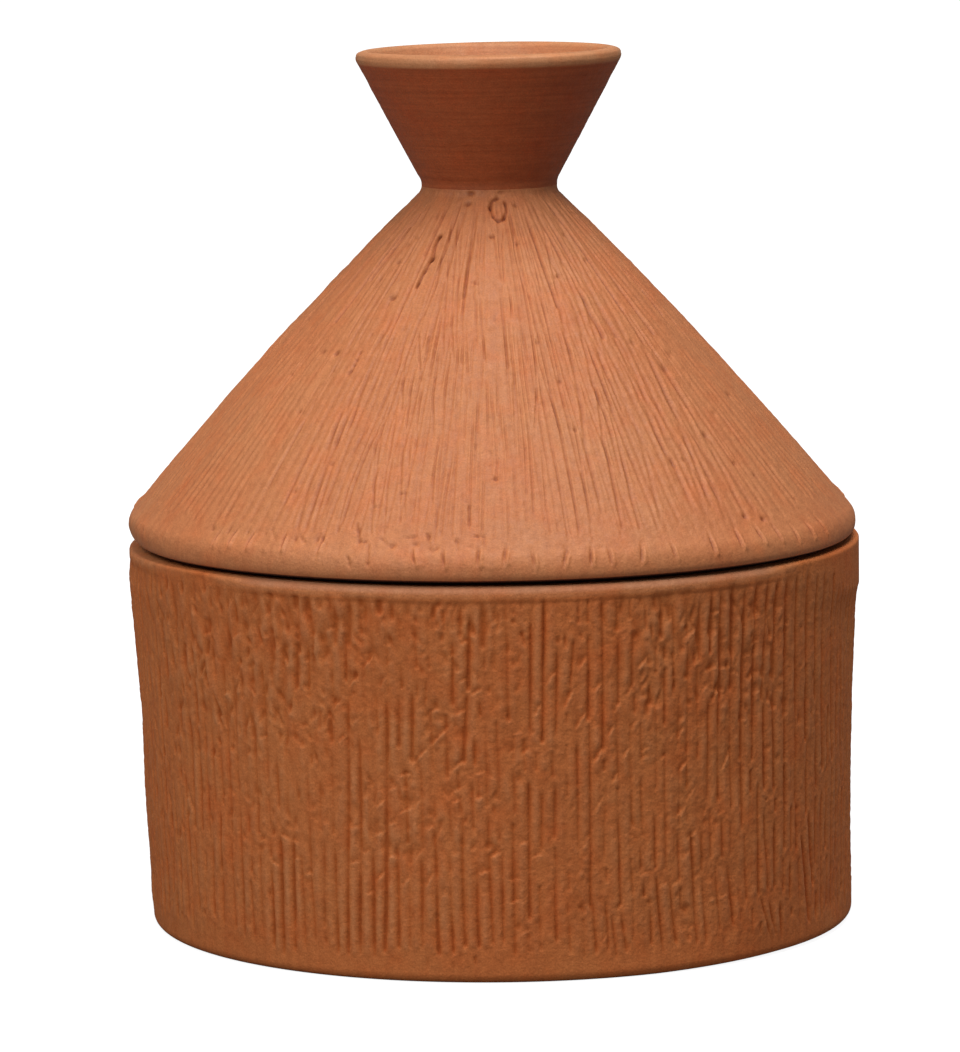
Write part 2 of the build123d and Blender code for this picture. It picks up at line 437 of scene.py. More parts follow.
# Ends of strokes: x, y, length in pixels, slant in degrees, and height
wall_chips = [
    (367, 663, 15, 52, 50), (353, 681, 15, 52, 50), (338, 704, 13, 52, 45), (328, 718, 11, 50, 35),
    (383, 682, 13, 58, 42), (388, 664, 8, 50, 25), (343, 738, 10, 40, 42), (355, 721, 9, 48, 30),
    (435, 711, 9, 5, 45), (424, 655, 7, 50, 28), (452, 656, 7, 20, 30), (464, 643, 8, 20, 48),
    (458, 671, 7, 30, 32), (463, 681, 8, 20, 38), (477, 692, 10, 25, 50), (461, 712, 12, 28, 42),
    (440, 736, 30, 45, 50), (421, 756, 20, 48, 42), (457, 766, 16, 40, 40), (480, 773, 8, 20, 30),
    (406, 774, 11, 15, 42), (512, 751, 9, 40, 32), (518, 733, 9, 15, 30), (526, 752, 9, 42, 36),
    (532, 733, 8, 45, 30), (538, 710, 12, 55, 42), (548, 681, 9, 65, 36), (553, 675, 7, 50, 26),
    (568, 700, 20, 66, 50), (583, 662, 11, 58, 40), (597, 686, 11, 45, 38), (580, 721, 16, 58, 45),
    (598, 755, 16, 58, 50), (610, 732, 11, 62, 46), (615, 777, 11, 62, 40), (626, 753, 10, 58, 36),
    (630, 690, 13, 60, 42), (617, 708, 10, 58, 30), (642, 663, 13, 52, 42), (634, 726, 8, 62, 30),
    (680, 733, 12, 60, 45), (645, 750, 8, 30, 30), (645, 758, 8, 20, 36), (663, 758, 8, 35, 30),
    (683, 767, 13, 50, 42), (690, 796, 15, 52, 48), (680, 812, 14, 42, 52), (598, 805, 17, 58, 36),
    (586, 842, 16, 62, 34), (524, 843, 9, 20, 36), (538, 856, 9, 15, 34), (515, 880, 9, 10, 34),
    (515, 902, 11, 15, 36), (526, 931, 9, 30, 28), (573, 810, 10, 55, 36), (578, 797, 7, 40, 30),
    (393, 788, 11, 35, 42), (381, 803, 10, 38, 42), (405, 811, 11, 28, 42), (418, 803, 9, 55, 34),
    (457, 790, 10, 35, 36), (457, 801, 10, 25, 34), (480, 798, 7, 20, 34), (431, 827, 9, 20, 34),
    (393, 823, 9, 20, 34), (355, 827, 10, 15, 36), (380, 834, 10, 25, 40), (356, 861, 9, 15, 42),
    (392, 856, 9, 20, 36), (368, 851, 9, 15, 34), (380, 878, 10, 45, 45), (420, 854, 10, 45, 38),
    (430, 881, 15, 58, 38), (445, 895, 8, 30, 32), (485, 872, 11, 15, 40), (497, 854, 11, 20, 36),
    (407, 881, 10, 50, 34), (371, 892, 8, 15, 30), (643, 874, 10, 15, 48), (663, 885, 10, 35, 42),
    (677, 884, 10, 25, 42), (691, 836, 13, 30, 45), (697, 877, 10, 40, 40), (686, 856, 9, 45, 36),
    (668, 832, 8, 45, 34), (705, 813, 11, 68, 36), (726, 760, 18, 62, 40), (721, 813, 10, 20, 34),
    (718, 869, 11, 15, 40), (724, 896, 10, 15, 36), (733, 898, 9, 15, 32), (728, 923, 7, 25, 30),
    (692, 929, 8, 10, 30), (642, 958, 9, 60, 32), (605, 938, 11, 60, 34), (586, 906, 12, -35, 36),
    (310, 874, 8, 15, 30), (286, 836, 11, -25, 42), (296, 841, 8, -15, 34), (277, 863, 10, -25, 48),
    (264, 839, 8, 30, 36), (298, 858, 8, 10, 34), (226, 796, 7, 20, 30), (190, 798, 7, 20, 30),
    (712, 669, 10, 10, 48), (724, 641, 8, 15, 36), (755, 642, 9, 20, 40), (747, 656, 9, 10, 38),
    (787, 626, 8, 30, 36), (775, 709, 7, 10, 36), (786, 715, 9, 30, 34), (723, 669, 9, 0, 36),
    (736, 673, 10, -20, 40), (720, 691, 9, 15, 34), (705, 689, 9, 45, 34), (780, 608, 8, 10, 36),
    (715, 613, 9, 30, 36), (690, 633, 13, 30, 48), (757, 691, 9, 15, 36), (743, 721, 8, 20, 34),
    (237, 635, 10, 25, 42), (252, 691, 12, -45, 42), (207, 633, 10, 10, 34), (219, 717, 8, 10, 40),
    (264, 738, 9, 10, 34), (330, 629, 9, 20, 45), (305, 726, 8, 20, 30), (226, 693, 10, 20, 34),
]

# Pits: x, y, width and depth
wall_pits = [
    (206, 621, 90, 50), (184, 645, 80, 42), (183, 654, 70, 45), (202, 653, 80, 48), (195, 638, 80, 38),
    (223, 661, 70, 38), (253, 664, 70, 45), (251, 681, 80, 40), (208, 686, 80, 40), (202, 704, 90, 42),
    (219, 712, 110, 50), (262, 693, 70, 35), (263, 715, 80, 36), (281, 735, 90, 42), (296, 736, 100, 48),
    (297, 638, 70, 45), (286, 647, 70, 38), (176, 668, 90, 38), (190, 690, 120, 36), (227, 706, 180, 34),
    (513, 622, 55, 60), (360, 632, 80, 40), (337, 619, 90, 40), (435, 704, 90, 45), (460, 733, 190, 40),
    (648, 702, 70, 50), (650, 663, 70, 45), (656, 672, 70, 38), (648, 641, 70, 45), (660, 618, 80, 52),
    (687, 628, 70, 50), (682, 648, 80, 45), (690, 703, 90, 42), (752, 605, 80, 48), (785, 630, 90, 52),
    (775, 606, 90, 45), (757, 671, 90, 45), (772, 673, 90, 48), (782, 676, 90, 45), (748, 677, 80, 42),
    (757, 685, 80, 42), (747, 692, 90, 45), (785, 702, 130, 48), (768, 747, 90, 42), (777, 757, 80, 38),
    (686, 909, 120, 60), (650, 902, 80, 42), (619, 906, 60, 45), (583, 907, 100, 48), (716, 823, 80, 52),
    (705, 822, 90, 40), (797, 808, 80, 40), (821, 765, 80, 38), (189, 789, 80, 38), (204, 791, 70, 36),
    (211, 790, 60, 40), (230, 788, 70, 40), (258, 791, 110, 40), (262, 847, 90, 42), (309, 881, 80, 40),
    (205, 912, 80, 42), (350, 820, 120, 36), (405, 802, 120, 45), (390, 845, 140, 38), (410, 852, 100, 34),
    (388, 618, 160, 36), (369, 654, 80, 50), (355, 676, 80, 45), (306, 686, 80, 40), (316, 818, 80, 35),
]

# Places that are dabbed all over: x and y of two corners, how many dabs, and their depth
dabbed_places = [
    (150, 590, 335, 760, 150, 50), (640, 598, 800, 720, 85, 42), (340, 602, 640, 645, 44, 42),
    (340, 645, 520, 790, 48, 34), (150, 785, 330, 835, 34, 38), (340, 790, 500, 855, 40, 32),
]

# Rough places where slip was dabbed on: x, y, reach across and up in millimetres, and roughness
rough_places = [
    (215, 660, 34, 26, 20), (300, 620, 18, 12, 18), (655, 632, 12, 13, 20), (745, 650, 20, 22, 18),
    (420, 620, 24, 8, 12), (390, 815, 22, 9, 12), (520, 740, 12, 10, 10), (690, 880, 16, 12, 8),
]

# Teeth of the wall's combs
wall_tooth = dict(width=0.75, burr=0.2, sway=0.1, band=2.4, core=0.75)
lip_tooth = dict(width=0.85, burr=0.2, sway=0.2, band=2.2, core=0.35)
main_tooth = dict(width=0.8, burr=0.2, sway=0.05, band=2.4)
rib_tooth = dict(width=0.78, burr=0.18, sway=0.1, band=2.4, core=0.7)


def pot_profile():
    """Outside of the pot from foot to rim, with its plain lip and its sharper lip, and the inside."""
    row_step = 0.42
    foot_radius = lip_radius - foot_taper
    shoulder = (lip_radius - lip_proud, rim_height - lip_height)
    lip_start = (lip_radius, rim_height - lip_height + lip_proud)
    lip_edge = (lip_radius, rim_height)
    mouth_edge = (mouth_radius, rim_height)
    rounded_foot = bend((0.0, 0.0), (foot_radius, 0.0), (foot_radius, rim_height), foot_rounding, row_step)
    wall = bow(rounded_foot[-1], shoulder, -wall_hollow, row_step)
    collar_depth = 9.0
    low_wall = wall[wall[:, 1] < rim_height - collar_depth]
    collar = wall[wall[:, 1] >= rim_height - collar_depth]
    rounded_lip = bend(lip_start, lip_edge, mouth_edge, lip_rounding, row_step)
    plain = np.concatenate([collar, run(shoulder, lip_start, row_step), rounded_lip])
    sharp_rounding = 0.9
    sharp_edge = bend(collar[0], (outer_limit, rim_height), mouth_edge, sharp_rounding, row_step)
    sharp = np.concatenate([collar[:1], sharp_edge, rounded_lip[-1:]])
    common = np.concatenate([rounded_foot[:-1], low_wall])
    outside = np.concatenate([common, resampled(plain, len(plain))])
    other = np.concatenate([common, resampled(sharp, len(plain))])

    mouth_end = (mouth_radius, rim_height - mouth_depth)
    rounded_mouth = bend(lip_edge, mouth_edge, mouth_end, mouth_rounding, row_step)
    inside_radius = foot_radius - wall_thickness
    cove_top = (inside_radius, floor_height + floor_cove)
    cove_toe = (inside_radius - floor_cove, floor_height)
    coarse = 2.0
    wall_step = 1.94
    softened = 5.0
    rounded_cove = bend((inside_radius, rim_height), cove_top, cove_toe, softened, coarse)
    inside = np.concatenate([
        rounded_mouth,
        run(rounded_mouth[-1], mouth_end, coarse)[1:],
        bow(mouth_end, rounded_cove[0], wall_hollow, wall_step),
        rounded_cove,
        bend(cove_top, cove_toe, (0.0, floor_height), softened, coarse),
    ])
    return outside, other, inside


def rib_wall(skin, combed_top, free):
    """Ribs all round, where the comb has passed, between the strokes that are drawn one by one.

    Every fourth rib of some hidden stretches is a main stroke. A dabbed place has short, faint ribs.
    """
    count = 176
    spacing = tau / count
    main_foot = 15.5
    main_depth = 0.5
    main_stretches = ((0, 8), (82, 188), (352, 360))
    dabbed_start = 198
    dabbed_end = 246
    dabbed_foot = 46
    shortest = 6
    for rib in range(count):
        angle = rib * spacing
        turned = np.degrees(angle)
        if rib % 4 == 2 and any(start < turned < end for start, end in main_stretches):
            furrow(skin, [(main_foot, angle), (combed_top, angle)], main_depth, **main_tooth)
            continue
        angle += chance.uniform(-0.16, 0.16) * spacing
        place = chance.uniform(4, 12)
        while place < combed_top - shortest:
            dabbed = dabbed_start < turned < dabbed_end and place > dabbed_foot
            reach = chance.uniform(5, 14) if dabbed else chance.uniform(18, 55)
            depth = chance.uniform(0.12, 0.34) if dabbed else chance.uniform(0.24, 0.48)
            end = (min(place + reach, combed_top), angle + chance.normal(0, 0.003))
            furrow(skin, [(place, angle), end], depth, free=free, **rib_tooth)
            place += reach + chance.uniform(0, 7)


def comb_wall(skin, combed_top):
    """Strokes that the photograph shows, then ribs between them."""
    press = 1.3 * hundredth
    aside = 1
    clearance = 2.4
    free = np.ones(skin.height.shape)
    for x, y, foot_x, foot_y, depth in wall_furrows:
        stops = [skin.spot((x + aside, y)), skin.spot((foot_x + aside, foot_y))]
        furrow(skin, stops, press * depth, **wall_tooth)
        keep_clear(skin, stops, free, clearance)
    for x, y, foot_y, depth in lip_strokes:
        stops = [skin.spot((x, y)), skin.spot((x + aside, foot_y))]
        furrow(skin, stops, press * depth, **lip_tooth)
    rib_wall(skin, combed_top, free)


def mark_hidden_wall(skin, combed_top):
    """Stroke ends and pits on the side of the wall that the photograph doesn't show."""
    lowest = 8
    back = (radians(-8), radians(188))
    chips = 130
    pits = 90
    for _ in range(chips):
        along = chance.uniform(lowest, combed_top)
        angle = chance.uniform(*back)
        length = chance.uniform(2.2, 4.5)
        depth = chance.uniform(0.16, 0.3)
        chip(skin, along, angle, length, depth, radians(chance.uniform(10, 65)))
    for _ in range(pits):
        size = chance.uniform(0.6, 1.2)
        along = chance.uniform(lowest, combed_top)
        angle = chance.uniform(*back)
        dent(skin, along, angle, size, size, chance.uniform(0.3, 0.5))


def mark_wall(skin, combed_top):
    """Stroke ends, pits and dabs that the photograph shows, and crumbs all over."""
    pixel_size = 0.274
    faint_x = 560
    faint_y = 780
    for x, y, length, slant, depth in wall_chips:
        press = (0.45 if x > faint_x and y > faint_y else 0.8) * hundredth
        chip(skin, *skin.spot((x, y)), length * pixel_size, press * depth, radians(slant))
    for x, y, width, depth in wall_pits:
        length = width * chance.uniform(0.8, 1.3)
        dent(skin, *skin.spot((x, y)), length * hundredth, width * hundredth, depth * hundredth)
    for x, y, far_x, far_y, count, depth in dabbed_places:
        for _ in range(count):
            place = skin.spot((chance.uniform(x, far_x), chance.uniform(y, far_y)))
            dab(skin, *place, depth * hundredth * chance.uniform(0.5, 1.3))
    crumble(skin, count=700, low=7, high=combed_top, sizes=(0.35, 0.7), longest=2.2, unevenness=0.18)


def roughen_wall(skin):
    """Rough places that the photograph shows, and unevenness all over."""
    rough = smooth_noise(skin.height.shape, rows=5, cols=2.6)
    for x, y, wide, tall, amount in rough_places:
        where, up, across = skin.patch(*skin.spot((x, y)), 2 * max(wide, tall))
        skin.height[where] += amount * hundredth * rough[where] * hump(across, 0, wide) * hump(up, 0, tall)
    roughen(skin, (0.04, 1.0, 1.2), (0.05, 6, 3), (0.08, 14, 12))


def soften_lip(skin, below_rim, foot_fade):
    """Smooth lip with a crease below it. It is lost at the sides."""
    lip_share = around([-180, -51, -39, 45, 55, 180], [0.6, 0, 1, 1, 0, 0.6])
    bare_depth = 0.9
    full_depth = 2.2
    wander = 0.22
    softness_below = 0.3
    crease_depth = 0.1
    crease_height = 0.9
    foot_share = 0.15
    uneven = smooth_noise(skin.height.shape, rows=30, cols=12)
    below_lip = below_rim - bare_depth - lip_share * (full_depth + wander * uneven)
    combed = soft_step(below_lip / softness_below)
    crease = crease_depth * lip_share * hump(below_lip, crease_height, crease_height)
    skin.height = combed * (foot_share + (1 - foot_share) * foot_fade) * skin.height - crease
    skin.height *= ramp(skin.along[:, None], 1, 4)


def swell_wall(skin, below_rim, foot_fade):
    """Swells and dips. On the right the wall stands in below a fuller collar, and its foot is rounder."""
    collar_height = 13.5
    collar_softness = 1.6
    collar_proud = 1.0
    below_collar = 0.1
    left_belly = 0.5
    left_rim = 0.7
    right_foot = 0.45
    belly = 0.15
    swell = 0.22
    right = around([50, 75, 105, 150], [0, 1, 1, 0])
    left = around([-150, -105, -75, -55], [0, 1, 1, 0])
    rounder = around([25, 50, 120, 165], [0, 1, 1, 0])
    waist = soft_step((below_rim - collar_height) / collar_softness)
    uneven = smooth_noise(skin.height.shape, rows=50, cols=55, source=np.random.default_rng(seed=6))
    skin.height += collar_proud * right * (1 - waist) * ramp(below_rim, 0, 4)
    skin.height -= below_collar * right * waist * foot_fade
    skin.height += left_belly * left * hump(skin.tall, 38, 17) * foot_fade
    skin.height -= left_rim * left * ramp(-below_rim, -9, -4)
    skin.height -= right_foot * rounder * hump(skin.tall, 0, 7)
    skin.height += swell * uneven * foot_fade * ramp(below_rim, 0, 10)
    skin.height += belly * hump(skin.tall, 34, 18) * foot_fade


def pot_heights(skin):
    """The wall as the potter left it: comb strokes, stroke ends, pits and a smooth lip."""
    plain_top = 4.2
    combed_top = skin.along[-1] - plain_top
    comb_wall(skin, combed_top)
    mark_hidden_wall(skin, combed_top)
    mark_wall(skin, combed_top)
    roughen_wall(skin)

    # No furrow or burr is deeper than the comb's teeth
    tooth = 0.75
    skin.height = tooth * np.tanh(skin.height / tooth)
    below_rim = rim_height - skin.tall
    foot_fade = ramp(skin.along[:, None], 4.5, 10.5)
    soften_lip(skin, below_rim, foot_fade)
    swell_wall(skin, below_rim, foot_fade)
    skin.height = blurred(skin.height, rows=0.4, cols=0.45)
    leaning = np.maximum(np.cos(column_angle), 0) * pot_lean * below_rim
    skin.height = np.minimum(skin.height, outer_limit - skin.out - leaning)

    # Nothing reaches below the foot
    foot = skin.along < 5
    skin.height[foot] = np.minimum(skin.height[foot], 0)


# The lid. Its tables are as the pot's.

combed_low = 15.0

# Comb lines: x and y of each point in turn, from the top down
cone_lines = [
    (452, 222, 449, 245, 441, 262, 436, 285, 422, 320), (449, 255, 447, 285, 443, 340),
    (458, 225, 455, 260, 452, 340), (462, 230, 459, 275, 456, 340), (468, 255, 464, 290, 462, 340),
    (477, 278, 473, 290, 476, 310, 477, 345), (478, 286, 480, 300, 483, 340, 485, 362),
    (490, 222, 494, 235, 498, 265), (503, 225, 502, 250, 504, 264), (513, 195, 520, 222, 530, 256),
    (513, 225, 514, 250, 525, 295, 533, 342, 537, 385, 535, 424), (511, 283, 511, 305, 510, 328),
    (500, 290, 503, 320, 506, 350), (535, 265, 545, 315, 553, 350, 560, 383),
    (543, 230, 551, 265, 562, 320, 570, 355, 580, 400, 585, 445, 600, 502),
    (556, 250, 575, 295, 586, 325, 600, 360, 620, 400), (545, 200, 560, 225, 580, 258, 592, 280),
    (562, 245, 580, 285, 593, 330, 607, 380), (585, 280, 605, 320, 622, 352, 640, 400, 668, 460),
    (430, 205, 421, 222), (408, 260, 403, 274), (382, 335, 374, 347, 362, 369),
    (385, 396, 372, 428, 360, 458, 348, 488, 337, 532), (362, 436, 356, 447),
    (390, 400, 378, 428, 365, 456, 353, 486, 343, 520), (376, 440, 374, 470, 371, 540),
    (380, 440, 377, 465, 372, 507), (387, 464, 384, 480, 379, 508), (390, 470, 387, 490, 385, 518),
    (404, 343, 399, 362), (404, 370, 402, 398), (402, 458, 400, 493), (407, 468, 405, 493),
    (309, 488, 301, 515, 297, 530), (322, 478, 310, 516), (330, 474, 320, 505, 315, 522),
    (419, 338, 420, 372), (436, 370, 433, 395, 433, 418), (447, 370, 443, 415, 439, 470, 437, 502),
    (422, 388, 418, 410, 416, 434), (440, 434, 433, 475, 432, 502), (428, 428, 420, 480, 418, 512),
    (451, 464, 444, 500, 441, 536), (455, 462, 451, 490, 448, 518), (473, 423, 470, 490, 469, 532),
    (478, 398, 475, 462), (487, 383, 488, 437), (492, 398, 496, 440, 498, 462, 496, 480),
    (497, 383, 498, 414), (500, 420, 504, 458), (505, 424, 508, 460), (513, 362, 515, 388),
    (517, 333, 522, 380, 528, 425, 532, 475, 534, 506), (521, 342, 527, 385, 530, 410), (514, 398, 516, 454),
    (540, 364, 553, 405, 563, 440, 571, 485, 579, 538), (543, 458, 546, 505, 551, 537),
    (557, 470, 565, 520, 569, 542), (563, 490, 572, 537), (575, 428, 585, 490, 594, 542),
    (580, 330, 593, 385, 607, 420, 618, 462), (596, 385, 603, 440, 616, 500, 623, 530),
    (612, 420, 632, 500, 641, 530), (625, 350, 655, 430, 674, 470, 690, 520), (640, 440, 660, 520),
    (650, 362, 690, 450, 708, 500), (690, 470, 716, 534), (640, 340, 668, 400, 700, 460, 726, 520),
    (605, 300, 640, 370, 662, 415), (672, 380, 712, 450, 748, 520), (660, 430, 684, 490, 697, 530),
    (440, 205, 436, 222), (430, 330, 424, 365), (466, 340, 468, 375), (458, 380, 456, 430),
    (466, 400, 464, 440), (520, 400, 525, 450, 527, 500), (395, 420, 388, 462), (412, 380, 406, 430),
    (350, 400, 338, 440), (338, 420, 322, 470), (365, 380, 352, 420), (410, 440, 408, 490),
    (494, 490, 495, 540), (508, 500, 509, 545), (483, 480, 482, 536), (462, 490, 461, 538),
    (605, 445, 618, 500),
]

# Pits and short cracks: x, y, length, width and depth
cone_pits = [
    (440, 236, 80, 50, 60), (432, 258, 90, 70, 75), (392, 298, 80, 90, 65), (388, 304, 130, 40, 40),
    (398, 262, 70, 60, 40), (492, 237, 60, 80, 60), (518, 244, 50, 80, 45), (471, 192, 100, 100, 60),
    (468, 203, 80, 70, 45), (491, 207, 70, 70, 15), (504, 203, 90, 70, 15), (586, 261, 80, 70, 40),
    (558, 276, 40, 90, 45), (564, 235, 80, 70, 35), (417, 238, 60, 80, 30), (407, 245, 60, 70, 30),
    (323, 351, 70, 70, 35), (336, 353, 80, 90, 55), (360, 353, 70, 50, 40), (357, 361, 50, 50, 40),
    (354, 365, 50, 50, 45), (351, 371, 50, 50, 45), (348, 374, 50, 50, 40), (291, 374, 70, 90, 38),
    (299, 412, 60, 70, 30), (331, 464, 60, 60, 35), (295, 493, 80, 50, 40), (213, 530, 80, 80, 60),
    (229, 532, 140, 50, 50), (248, 533, 120, 50, 50), (266, 534, 80, 70, 45), (295, 540, 120, 60, 70),
    (317, 539, 120, 60, 65), (358, 531, 100, 50, 45), (359, 541, 100, 50, 50), (393, 546, 70, 90, 50),
    (415, 545, 60, 90, 60), (745, 517, 80, 80, 50), (763, 519, 80, 100, 60), (729, 395, 80, 80, 35),
    (705, 435, 90, 90, 35), (735, 463, 80, 90, 32), (665, 369, 150, 150, 30), (671, 354, 120, 120, 30),
    (633, 343, 120, 100, 34), (673, 463, 160, 40, 45), (714, 413, 70, 70, 32), (683, 460, 70, 70, 32),
    (429, 535, 80, 60, 40), (457, 542, 60, 80, 42), (470, 547, 50, 90, 50), (429, 538, 100, 40, 40),
    (469, 508, 120, 50, 40), (496, 479, 50, 70, 35), (575, 430, 50, 80, 35), (601, 548, 70, 70, 35),
    (560, 382, 70, 50, 35), (537, 343, 80, 70, 35), (501, 191, 60, 90, 40), (515, 206, 60, 60, 30),
]

# Marks drawn with many small presses: width, depth, and x and y of each point in turn
cone_scratches = [
    (48, 95, (440, 236, 435, 246, 432, 257, 425, 270, 420, 279, 416, 289)),
    (44, 95, (498, 198, 492, 201, 490, 208, 493, 216, 498, 221, 504, 219, 507, 211, 505, 201)),
    (40, 35, (473, 283, 479, 284)), (40, 35, (373, 507, 380, 507)), (40, 35, (400, 493, 406, 493)),
    (40, 25, (492, 480, 498, 480)), (36, 50, (357, 524, 359, 541, 368, 542)), (36, 45, (380, 538, 393, 549)),
    (36, 40, (402, 538, 418, 537)), (36, 48, (427, 534, 431, 552, 440, 547)), (34, 45, (456, 540, 458, 553)),
    (36, 48, (474, 537, 484, 537, 484, 552)), (34, 45, (469, 513, 470, 527)), (38, 50, (347, 556, 350, 570)),
    (38, 55, (368, 545, 367, 568)), (36, 45, (564, 546, 569, 554)), (40, 45, (300, 536, 306, 544)),
    (40, 45, (320, 534, 326, 546)), (40, 40, (272, 530, 276, 542)),
]

# Short cuts near the edge: x and y of the crumb at the foot of each
edge_cuts = [
    (215, 545), (231, 546), (249, 548), (283, 549), (320, 552), (416, 566), (446, 567), (482, 565),
    (509, 563), (538, 568), (569, 567), (596, 565), (615, 566), (647, 563), (679, 559), (718, 552),
    (745, 546), (766, 541), (783, 540), (801, 545), (815, 537), (827, 533),
]

# Teeth of the lid's combs
hidden_tooth = dict(width=0.36, burr=0.35, sway=0.06)
upper_tooth = dict(width=0.56, burr=0.35, sway=0.1)
short_tooth = dict(width=0.36, burr=0.4, sway=0.06)


def lid_profile():
    """Outside of the lid from its edge up to the neck, with a round edge and a fuller edge, and the rest."""
    row_step = 0.45
    edge_centre = np.array([lid_radius - lid_edge_rounding, underside + lid_edge_rounding])
    neck_foot = np.array([neck_radius, knob_seat - boss_height])
    way = neck_foot - edge_centre
    slope = np.arctan2(way[1], way[0]) - np.arccos(lid_edge_rounding / np.linalg.norm(way))
    across_slope = np.array([cos(slope), sin(slope)])
    edge_point = edge_centre + lid_edge_rounding * across_slope
    bowed = slope - 2 * np.arctan(2 * cone_bulge / np.linalg.norm(edge_point - neck_foot))

    def rounding(centre, radius, first, last):
        return arc(centre, radius, first, last, ceil((last - first) * radius / row_step) + 1)

    round_edge = rounding(edge_centre, lid_edge_rounding, -pi / 2, bowed)
    cone = bow(round_edge[-1], neck_foot, cone_bulge, row_step)
    shared = 18
    low_rounding = 2.0
    fuller = 0.75
    full_radius = lid_radius + fuller
    slope_reach = edge_centre @ np.array([cos(bowed), sin(bowed)]) + lid_edge_rounding
    high_rounding = slope_reach - full_radius * cos(bowed) - (underside + low_rounding) * sin(bowed)
    high_rounding /= 1 - cos(bowed)
    low_centre = np.array([full_radius - low_rounding, underside + low_rounding])
    high_centre = np.array([full_radius - high_rounding, underside + low_rounding])
    full_edge = np.concatenate([
        rounding(low_centre, low_rounding, -pi / 2, 0)[:-1],
        rounding(high_centre, high_rounding, 0, bowed),
        cone[shared:shared + 1],
    ])
    plain_edge = np.concatenate([round_edge[:-1], cone[:shared + 1]])
    count = len(plain_edge)
    before_neck = cone[-8]
    fillet = bend(before_neck, neck_foot, (neck_radius, knob_seat), boss_fillet, row_step)
    keep = np.linalg.norm(cone - neck_foot, axis=1) > np.linalg.norm(fillet[0] - neck_foot)
    upper = np.concatenate([cone[shared + 1:][keep[shared + 1:]], fillet])
    outside = np.concatenate([resampled(plain_edge, count), upper])
    other = np.concatenate([resampled(full_edge, count), upper])

    # Below: the hollow of the cone, the skirt and the land
    flange_outer = mouth_radius - flange_clearance
    flange_inner = flange_outer - flange_thickness
    inner_point = edge_centre + (lid_edge_rounding - cone_thickness) * across_slope
    ceiling = knob_seat - crown_thickness
    ceiling_radius = inner_point[0] - (ceiling - inner_point[1]) * np.tan(slope)
    step_height = inner_point[1] + (inner_point[0] - flange_inner) / np.tan(slope)
    coarse = 2.0
    fine = 0.6
    ceiling_rounding = 8.0
    step_rounding = 6.0
    outer_toe = (flange_outer, skirt_end)
    inner_toe = (flange_inner, skirt_end)
    inner_step = (flange_inner, step_height)
    ceiling_edge = (ceiling_radius, ceiling)
    rounded_ceiling = bend((0.0, ceiling), ceiling_edge, inner_step, ceiling_rounding, coarse)
    rounded_step = bend(ceiling_edge, inner_step, inner_toe, step_rounding, coarse)
    below = np.concatenate([
        run((0.0, ceiling), rounded_ceiling[0], coarse)[1:],
        rounded_ceiling,
        run(rounded_ceiling[-1], rounded_step[0], coarse)[1:],
        rounded_step,
        bend(inner_step, inner_toe, outer_toe, flange_rounding, fine),
        bend(inner_toe, outer_toe, (flange_outer, rim_height), flange_rounding, fine),
        [(flange_outer, rim_height), (land_radius, rim_height), (land_radius, underside)],
    ])
    return below, outside, other


def flank_share(angle, start):
    """0 at the front of the cone, 1 well round its sides."""
    fade = 20
    return ramp(abs(np.degrees(angle - front_angle)), start, start + fade)


def points_of(line):
    """Points from a row of x and y in turn."""
    return list(zip(line[::2], line[1::2]))


def flute_cone(skin, top):
    """Soft flutes all round. They are fainter at the front, where the comb's own lines are crisp."""
    flutes = 172
    whole_share = 0.45
    for flute in range(flutes):
        angle = (flute + chance.uniform(-0.22, 0.22)) * tau / flutes
        flank = flank_share(angle, 22)
        depth = chance.uniform(0.5, 1.3) * (0.2 - 0.04 * flank)
        width = 0.32 + 0.46 * flank
        low = combed_low + chance.uniform(-3, 4)
        high = top - 3 if chance.random() < whole_share else top * chance.uniform(0.35, 0.8)
        middle = ((low + high) / 2, angle + chance.normal(0, 0.006))
        end = (high, angle + chance.normal(0, 0.014))
        furrow(skin, [(low, angle), middle, end], depth, width, burr=0.45, sway=0.1, unsteady=0.7)


def line_cone(skin, top):
    """Crisp comb lines: on the hidden side, below the neck, where the photograph shows them, short ones."""
    hidden_lines = 150
    for _ in range(hidden_lines):
        angle = chance.uniform(radians(-10), radians(190))
        place = chance.uniform(combed_low, top - 40)
        reach = chance.uniform(10, 60)
        end = (min(place + reach, top - 4), angle + chance.normal(0, 0.02))
        furrow(skin, [(place, angle), end], chance.uniform(0.15, 0.34), **hidden_tooth)
    upper_lines = 44
    for line in range(upper_lines):
        angle = (line + chance.uniform(-0.35, 0.35)) * tau / upper_lines
        low = top - chance.uniform(22, 62)
        stops = [(low, angle + chance.normal(0, 0.01)), (top - chance.uniform(3, 9), angle)]
        furrow(skin, stops, chance.uniform(0.26, 0.5), **upper_tooth)
    for line in cone_lines:
        stops = [skin.spot(point) for point in points_of(line)]
        flank = flank_share(stops[0][1], 20)
        stops.sort()
        (low, low_angle), (high, high_angle) = stops[0], stops[-1]
        reach = chance.uniform(3, 9)
        beyond = reach * (high_angle - low_angle) / (high - low)
        start = (max(low - reach, combed_low), low_angle - beyond)
        end = (min(high + reach, top - 3), high_angle + beyond)
        strength = 1 - 0.3 * flank
        width = 0.27 + 0.4 * flank
        for way, least, most in (([start, *stops, end], 0.13, 0.20), (stops, 0.08, 0.17)):
            furrow(skin, way, strength * chance.uniform(least, most), width, burr=0.4, sway=0.0, unsteady=0.4)
    short_lines = 90
    for _ in range(short_lines):
        angle = chance.uniform(radians(205), radians(335))
        place = chance.uniform(30, top - 12)
        reach = chance.uniform(4, 18)
        end = (min(place + reach, top - 3), angle + chance.normal(0, 0.004))
        furrow(skin, [(place - reach, angle), end], chance.uniform(0.06, 0.2), **short_tooth)


